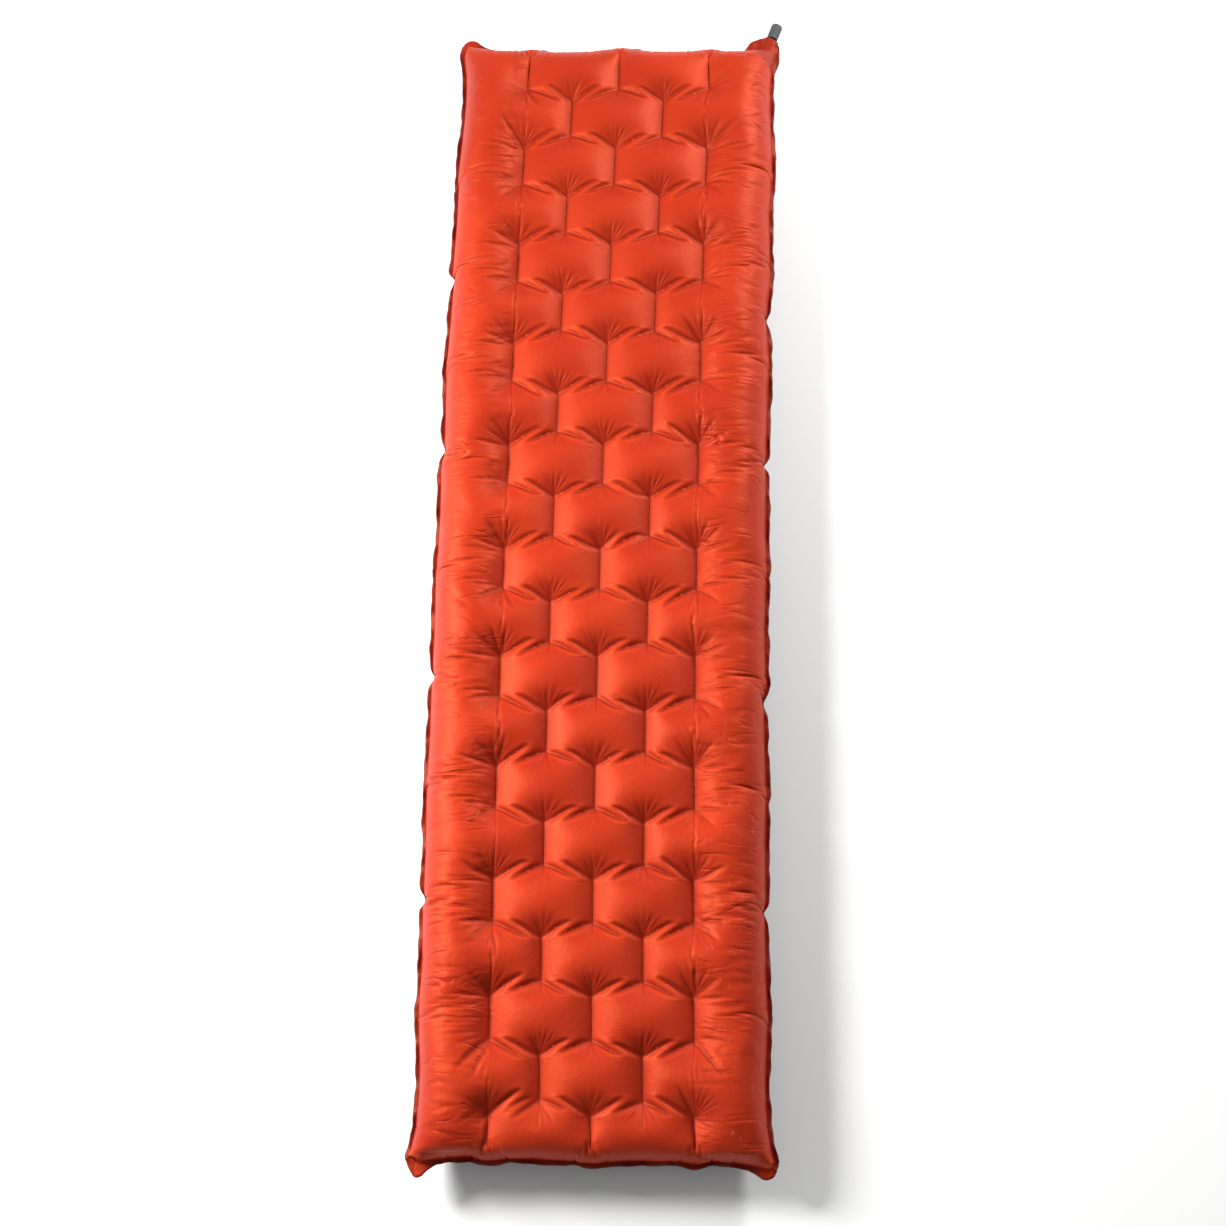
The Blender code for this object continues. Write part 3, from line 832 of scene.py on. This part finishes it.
def new_material(name):
    """An empty node material; returns it with its tree and its Principled shader."""
    made = bpy.data.materials.new(name)
    made.use_nodes = True
    tree = made.node_tree
    tree.nodes.clear()
    shader = add(tree, "ShaderNodeBsdfPrincipled")
    add(tree, "ShaderNodeOutputMaterial", links={"Surface": shader.outputs[0]})
    return made, tree, shader


def mix(tree, share, first, second):
    """Mixes two colours; each is a socket or a linear colour."""
    node = add(tree, "ShaderNodeMix", data_type="RGBA")
    for index, value in ((0, share), (6, first), (7, second)):
        if isinstance(value, bpy.types.NodeSocket):
            tree.links.new(value, node.inputs[index])
        else:
            node.inputs[index].default_value = value
    return node.outputs[2]


def ramp(tree, source, low, high, to_low=0.0, to_high=1.0):
    """Maps a value's range onto another, clamped."""
    node = add(tree, "ShaderNodeMapRange", {"From Min": low, "From Max": high, "To Min": to_low,
               "To Max": to_high}, {"Value": source})
    return node.outputs[0]


def mark(tree, name):
    """A number stored on the mesh's points."""
    return add(tree, "ShaderNodeAttribute", attribute_name=name).outputs["Fac"]


def product(tree, first, second):
    """The product of two sockets."""
    return add(tree, "ShaderNodeMath", links={0: first, 1: second}, operation="MULTIPLY").outputs[0]


def magnitude(tree, source):
    """A value without its sign."""
    return add(tree, "ShaderNodeMath", links={0: source}, operation="ABSOLUTE").outputs[0]


def noise(tree, place, size, **settings):
    """A noise whose cells are `size` metres wide."""
    node = add(tree, "ShaderNodeTexNoise", {"Scale": 1 / size, **settings}, {"Vector": place})
    return node.outputs["Fac"]


def object_place(tree):
    """Object coordinates."""
    return add(tree, "ShaderNodeTexCoord").outputs["Object"]


THREAD_MM = 1.0  # a real thread is 0.25 mm; drawn coarser so that the twill shows


def creases(tree, flat):
    """Heights of the fans beside the welds and of the long wrinkles across the side chambers."""
    turn = mark(tree, "fan_turn")
    share = mark(tree, "fan")
    angle = add(tree, "ShaderNodeMath", {1: math.pi}, {0: turn}, operation="MULTIPLY")
    wave = add(tree, "ShaderNodeMath", links={0: angle.outputs[0]}, operation="SINE")
    fold = magnitude(tree, wave.outputs[0])
    uneven = add(tree, "ShaderNodeTexNoise", {"Scale": 0.85, "Detail": 1.0}, {"W": turn},
                 noise_dimensions="1D")
    depth = product(tree, ramp(tree, uneven.outputs["Fac"], 0.36, 0.62, 0.15, 1.0), share)
    fan = product(tree, fold, depth)

    # the wrinkles are the lines where a noise stretched across the pad passes its middle value
    long = add(tree, "ShaderNodeMapping", {"Scale": (1 / 0.090, 1 / 0.027, 1.0)}, {"Vector": flat})
    stretched = noise(tree, long.outputs[0], 1.0, Detail=2.0, Distortion=0.7)
    away = add(tree, "ShaderNodeMath", {1: 0.5}, {0: stretched}, operation="SUBTRACT")
    patch = noise(tree, flat, 0.055, Detail=1.0)
    strength = product(tree, ramp(tree, patch, 0.44, 0.64), mark(tree, "side"))
    wrinkle = product(tree, ramp(tree, magnitude(tree, away.outputs[0]), 0.0, 0.09), strength)
    return fan, wrinkle


def woven(tree, shader, strength):
    """Diagonal twill, small crumples and creases as bump on the cloth's own flat coordinates."""
    flat = add(tree, "ShaderNodeUVMap", uv_map="cloth").outputs[0]
    turned = add(tree, "ShaderNodeMapping", {"Rotation": (0, 0, math.radians(33))}, {"Vector": flat})
    # a band texture repeats every 2 pi / 20 of its scaled length
    scale = math.tau / 20 / (THREAD_MM * MM)
    twill = add(tree, "ShaderNodeTexWave", {"Scale": scale, "Distortion": 0.6, "Detail": 1.0},
                {"Vector": turned.outputs[0]}).outputs["Fac"]
    crumple = noise(tree, flat, 9 * MM, Detail=3.0, Distortion=0.8)
    fan, wrinkle = creases(tree, flat)
    normal = None
    for share, depth, height in ((strength, 0.07, twill), (0.55, 0.7, crumple), (1.0, 0.85, fan),
                                 (1.0, 1.1, wrinkle)):
        bump = add(tree, "ShaderNodeBump", {"Strength": share, "Distance": depth * MM}, {"Height": height})
        if normal:
            tree.links.new(normal, bump.inputs["Normal"])
        normal = bump.outputs[0]
    tree.links.new(normal, shader.inputs["Normal"])
    return flat, twill


def top_cloth():
    """Satin-faced woven nylon, dyed orange red: silky broad highlights, painted shade in the creases and
    over the fans, painted highlights on the ridges, a darker rim weld, scuffed.
    """
    made, tree, shader = new_material("woven_nylon_orange_red")
    flat, twill = woven(tree, shader, 0.5)
    drift = noise(tree, flat, 0.16, Detail=2.0)
    surface_colour = mix(tree, ramp(tree, drift, 0.35, 0.65), colour("#A22814"), colour("#AC2E16"))
    ridge = mark(tree, "ridge")
    # painted shade: the cloth is mixed towards dark maroon in the creases, where the ridge value is below 0
    surface_colour = mix(tree, ramp(tree, ridge, 0.0, -1.0, 0.0, 0.50), surface_colour, colour("#6A120A"))
    # painted shade: the cloth is mixed darker over the fans of creases beside the welds
    surface_colour = mix(tree, ramp(tree, mark(tree, "fan"), 0.0, 1.0, 0.0, 0.28), surface_colour, colour("#6A120A"))
    # painted highlight: the cloth is mixed lighter and more orange on the ridges
    surface_colour = mix(tree, ramp(tree, ridge, 0.35, 1.0, 0.0, 0.25), surface_colour, colour("#C8481F"))
    surface_colour = mix(tree, ramp(tree, twill, 0.0, 1.0, 0.0, 0.12), surface_colour, colour("#6A1109"))
    # scuffs: thin pale streaks on the foot's valve-side corner, where the pad is dragged
    place = object_place(tree)
    spot = add(tree, "ShaderNodeSeparateXYZ", links={"Vector": place})
    right = ramp(tree, spot.outputs["X"], 0.14, 0.20)
    where = product(tree, right, ramp(tree, spot.outputs["Y"], -0.15, -0.55))
    drag = add(tree, "ShaderNodeMapping", {"Rotation": (0, 0, 0.30), "Scale": (1.0, 0.30, 1.0)},
               {"Vector": place})
    streak = noise(tree, drag.outputs[0], 5 * MM, Detail=3.0, Roughness=0.6)
    patch = noise(tree, place, 0.035, Detail=1.0)
    some = product(tree, where, ramp(tree, patch, 0.52, 0.62))
    scuff = product(tree, some, ramp(tree, streak, 0.60, 0.74))
    surface_colour = mix(tree, ramp(tree, scuff, 0.0, 1.0, 0.0, 0.42), surface_colour, colour("#DE8474"))
    # the rim weld and the valve tab are mixed towards dark maroon: partly their pressed cloth, partly
    # painted shade
    surface_colour = mix(tree, ramp(tree, mark(tree, "rim"), 0.0, 1.0, 0.0, 0.85), surface_colour, colour("#5E1210"))
    tree.links.new(surface_colour, shader.inputs["Base Color"])
    tree.links.new(ramp(tree, drift, 0.3, 0.7, 0.47, 0.55), shader.inputs["Roughness"])
    shader.inputs["Specular IOR Level"].default_value = 0.75
    shader.inputs["Specular Tint"].default_value = colour("#FF7444")
    return made


def bottom_cloth():
    """Woven polyester, dyed dark plum grey: flatter and duller than the top."""
    made, tree, shader = new_material("woven_polyester_plum_grey")
    flat, twill = woven(tree, shader, 0.6)
    surface_colour = mix(tree, noise(tree, flat, 0.12, Detail=3.0), colour("#4A343A"), colour("#5C4046"))
    surface_colour = mix(tree, ramp(tree, twill, 0.0, 1.0, 0.0, 0.30), surface_colour, colour("#2E2226"))
    surface_colour = mix(tree, ramp(tree, mark(tree, "rim"), 0.0, 1.0, 0.0, 0.8), surface_colour, colour("#4A2024"))
    tree.links.new(surface_colour, shader.inputs["Base Color"])
    shader.inputs["Roughness"].default_value = 0.62
    shader.inputs["Sheen Weight"].default_value = 0.15
    return made


def pressed_weld():
    """Nylon melted flat by the weld tool: darker and duller than the cloth round it."""
    made, tree, shader = new_material("pressed_nylon_weld")
    grain = noise(tree, object_place(tree), 2 * MM)
    surface_colour = mix(tree, grain, colour("#5A110A"), colour("#76190F"))
    tree.links.new(surface_colour, shader.inputs["Base Color"])
    shader.inputs["Roughness"].default_value = 0.6
    shader.inputs["Specular IOR Level"].default_value = 0.15
    return made


GRAIN_DEPTH = 0.04 * MM


def moulded(name, dark, light, roughness, grain_mm):
    """Injection-moulded plastic or rubber: a fine eroded grain and faint handling marks."""
    made, tree, shader = new_material(name)
    place = object_place(tree)
    grain = noise(tree, place, grain_mm * MM, Detail=3.0)
    marks = noise(tree, place, 7 * MM, Detail=2.0)
    tree.links.new(mix(tree, marks, colour(dark), colour(light)), shader.inputs["Base Color"])
    tree.links.new(ramp(tree, marks, 0.3, 0.7, roughness - 0.05, roughness + 0.07),
                   shader.inputs["Roughness"])
    bump = add(tree, "ShaderNodeBump", {"Strength": 0.5, "Distance": GRAIN_DEPTH}, {"Height": grain})
    tree.links.new(bump.outputs[0], shader.inputs["Normal"])
    return made


def film():
    """Thermoplastic film of the baffles: milky, smooth and a little glossy."""
    made, tree, shader = new_material("polyurethane_film")
    cloud = noise(tree, object_place(tree), 15 * MM)
    tree.links.new(mix(tree, cloud, colour("#DCD6C8"), colour("#E8E4DA")), shader.inputs["Base Color"])
    shader.inputs["Roughness"].default_value = 0.35
    return made


# Pieces


def panels(finish_top, finish_bottom):
    """Both panels, blown up, with their rim weld, ears and valve tab."""
    sheet, points = inflate()
    points = ease_folds(points.astype(np.float64), sheet["held"])
    points = fit_rim(points)
    turns, shares = gather_fans(sheet, points)
    shares *= np.clip(1.15 - 1.5 * np.abs(ridges(points)), 0, 1)  # the deep folds stay as they are
    points = pleat_fans(points, turns, shares)
    sides = side_share(points)
    points = wrinkle_sides(sheet, points, sides)
    marks = {"fan_turn": turns, "fan": shares, "side": sides, "ridge": ridges(points)}
    for name, node, slot, side, finish in (
            ("top_panel_cloth", "top_panel", "top_fabric", 1, finish_top),
            ("bottom_panel_cloth", "bottom_panel", "bottom_fabric", -1, finish_bottom)):
        piece = panel_shell(name, sheet, points, side, marks, finish)
        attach(piece, "pad")
        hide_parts(node)


def weld_marks(finish):
    """The pressed line along every weld on the top panel."""
    places, lengths = [], []
    for row in range(ROWS):
        low, high = row_span(row)
        for column in row_columns(row):
            middle = (low + high) / 2
            x = column * COLUMN_PITCH + bow(middle) + CENTRE.x
            places.append((x, high + CENTRE.y, MIDDLE + WELD_RISE))
            lengths.append(high - low)
    base = bpy.data.meshes.new("weld_places")
    base.from_pydata(places, [], [])
    set_attribute(base, "length", lengths)
    sizes = {"Mark width": 2.2 * MM, "Mark height": 0.8 * MM}
    piece = grown("weld_marks", weld_marks_tree(finish), sizes, base, finish)
    piece.data.shade_smooth()
    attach(piece, "pad")


def turned(profile, sides=64):
    """A mesh turned about Z from a closed outline of (radius, height) points."""
    vertices, faces = [], []
    for radius, height in profile:
        for k in range(sides):
            a = math.tau * k / sides
            vertices.append((radius * math.cos(a), radius * math.sin(a), height))
    for ring in range(len(profile)):
        after = (ring + 1) % len(profile)
        for k in range(sides):
            n = (k + 1) % sides
            faces.append((ring * sides + k, ring * sides + n, after * sides + n, after * sides + k))
    mesh = bpy.data.meshes.new("turned")
    mesh.from_pydata(vertices, [], faces)
    return mesh


def arc(centre, radius, start, end, steps=6):
    """Points of a round in a profile, angles in degrees from +radius towards +height."""
    turn = [math.radians(start + (end - start) * k / steps) for k in range(steps + 1)]
    return [(centre[0] + radius * math.cos(a), centre[1] + radius * math.sin(a)) for a in turn]


def valve_matrix():
    """Places a piece turned about +Z on the valve's axis."""
    across = Vector((VALVE_AXIS.y, -VALVE_AXIS.x, 0))
    turn = Matrix((across, VALVE_AXIS.cross(across), VALVE_AXIS)).transposed().to_4x4()
    return Matrix.Translation(VALVE_NECK) @ turn


def valve_knob(finish):
    """The knob's body with its ribs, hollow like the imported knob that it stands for."""
    low, high = 2.6 * MM, 29.6 * MM
    body = 8.5 * MM
    outside = arc((body - 0.2 * MM, low + 0.9 * MM), 0.9 * MM, -90, 0)
    outside += [(body + 0.7 * MM, low + 2.2 * MM), (body, low + 2.9 * MM), (body, high - 2.0 * MM)]
    outside += arc((body - 1.6 * MM, high - 1.6 * MM), 1.6 * MM, 0, 90)
    mouth = arc((3.1 * MM + 0.9 * MM, high - 0.9 * MM), 0.9 * MM, 90, 180)
    inside = [(3.1 * MM, 24.5 * MM), (6.2 * MM, 24.5 * MM), (6.2 * MM, 20.0 * MM), (4.6 * MM, 20.0 * MM),
              (4.6 * MM, 14.4 * MM), (7.1 * MM, 14.4 * MM), (7.1 * MM, low)]
    mesh = turned(outside + mouth + inside)
    mesh.name = "valve_knob_grip"
    mesh.materials.append(finish)
    mesh.transform(valve_matrix())
    mesh.shade_smooth()
    mesh.set_sharp_from_angle(angle=math.radians(40))
    piece = new_piece("valve_knob_grip", mesh)

    base = bpy.data.meshes.new("rib_places")
    turn = [math.tau * k / GRIP_RIBS for k in range(GRIP_RIBS)]
    ring = 8.35 * MM
    start = low + 3.2 * MM
    base.from_pydata([(ring * math.cos(a), ring * math.sin(a), start) for a in turn], [], [])
    sizes = {"Rib length": high - 0.3 * MM - start, "Rib radius": 1.15 * MM}
    ribs = grown("valve_knob_ribs", grip_ribs_tree(finish), sizes, base, finish)
    ribs.data.transform(valve_matrix())
    ribs.data.shade_smooth()
    for part in (piece, ribs):
        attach(part, "knob")
        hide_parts("valve_knob")


def coat_packed_nodes():
    """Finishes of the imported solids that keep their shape."""
    black = moulded("moulded_polyurethane_black", "#17171A", "#232326", 0.42, 0.5)
    acetal = moulded("moulded_acetal_black", "#1B1B1D", "#262629", 0.35, 0.3)
    rubber = moulded("nitrile_rubber", "#0E0E0F", "#19191A", 0.7, 0.4)
    milky = film()
    for node, finish in (("valve_stem", black), ("valve_piston", acetal), ("piston_seal_lower", rubber),
                         ("piston_seal_upper", rubber), *((name, milky) for name in BAFFLES)):
        mesh = frame["nodes"][node].data
        if not mesh.materials:
            mesh.materials.append(finish)
        for index in range(len(mesh.materials)):
            mesh.materials[index] = finish


# Camera, floor and light


def aim(thing, place, target):
    """Puts a lamp in place and points it at a target."""
    thing.location = place
    thing.rotation_euler = (Vector(target) - Vector(place)).to_track_quat("-Z", "Y").to_euler()
    bpy.context.scene.collection.objects.link(thing)


def camera():
    """A long lens high over the foot end, looking down the pad."""
    lens = bpy.data.cameras.new("camera")
    lens.lens, lens.sensor_width = 78.29, 36
    lens.clip_end = 100
    made = bpy.data.objects.new("camera", lens)
    made.location = (CENTRE.x + 0.2482, CENTRE.y - 1.3952, 3.9405)
    made.rotation_euler = [math.radians(a) for a in (18.98, 2.91, 1.36)]
    bpy.context.scene.collection.objects.link(made)
    bpy.context.scene.camera = made


def soft_box(name, place, target, size, watts, spread):
    """A square studio lamp behind a grid that narrows its beam to `spread` degrees."""
    lamp = bpy.data.lights.new(name, "AREA")
    lamp.size, lamp.energy, lamp.spread = size, watts, math.radians(spread)
    aim(bpy.data.objects.new(name, lamp), place, target)


def studio():
    """A pale floor and soft light, brightest from the valve's side and the head."""
    finish, _, shader = new_material("pale_studio_floor")
    shader.inputs["Base Color"].default_value = colour("#F4F4F3")
    shader.inputs["Roughness"].default_value = 0.9
    half = 40.0
    mesh = bpy.data.meshes.new("floor")
    corners = [(-half, -half, 0), (half, -half, 0), (half, half, 0), (-half, half, 0)]
    mesh.from_pydata(corners, [], [(0, 1, 2, 3)])
    mesh.materials.append(finish)
    new_piece("floor", mesh)
    world = bpy.data.worlds.new("studio")
    bpy.context.scene.world = world
    world.use_nodes = True
    sky = world.node_tree.nodes["Background"]
    sky.inputs["Color"].default_value = colour("#FFFFFF")
    sky.inputs["Strength"].default_value = 0.31
    soft_box("head_lamp", (1.7, 2.1, 1.5), (0.05, 0.45, 0.0), 0.8, 94, 180)
    soft_box("side_lamp", (-2.0, 0.35, 1.5), (0.0, -0.75, 0.0), 0.8, 78, 140)
    bpy.context.scene.view_settings.view_transform = "Standard"


camera()
panels(top_cloth(), bottom_cloth())
weld_marks(pressed_weld())
valve_knob(moulded("moulded_nylon_dark_grey", "#393A3B", "#4A4B4C", 0.5, 0.6))
coat_packed_nodes()
studio()
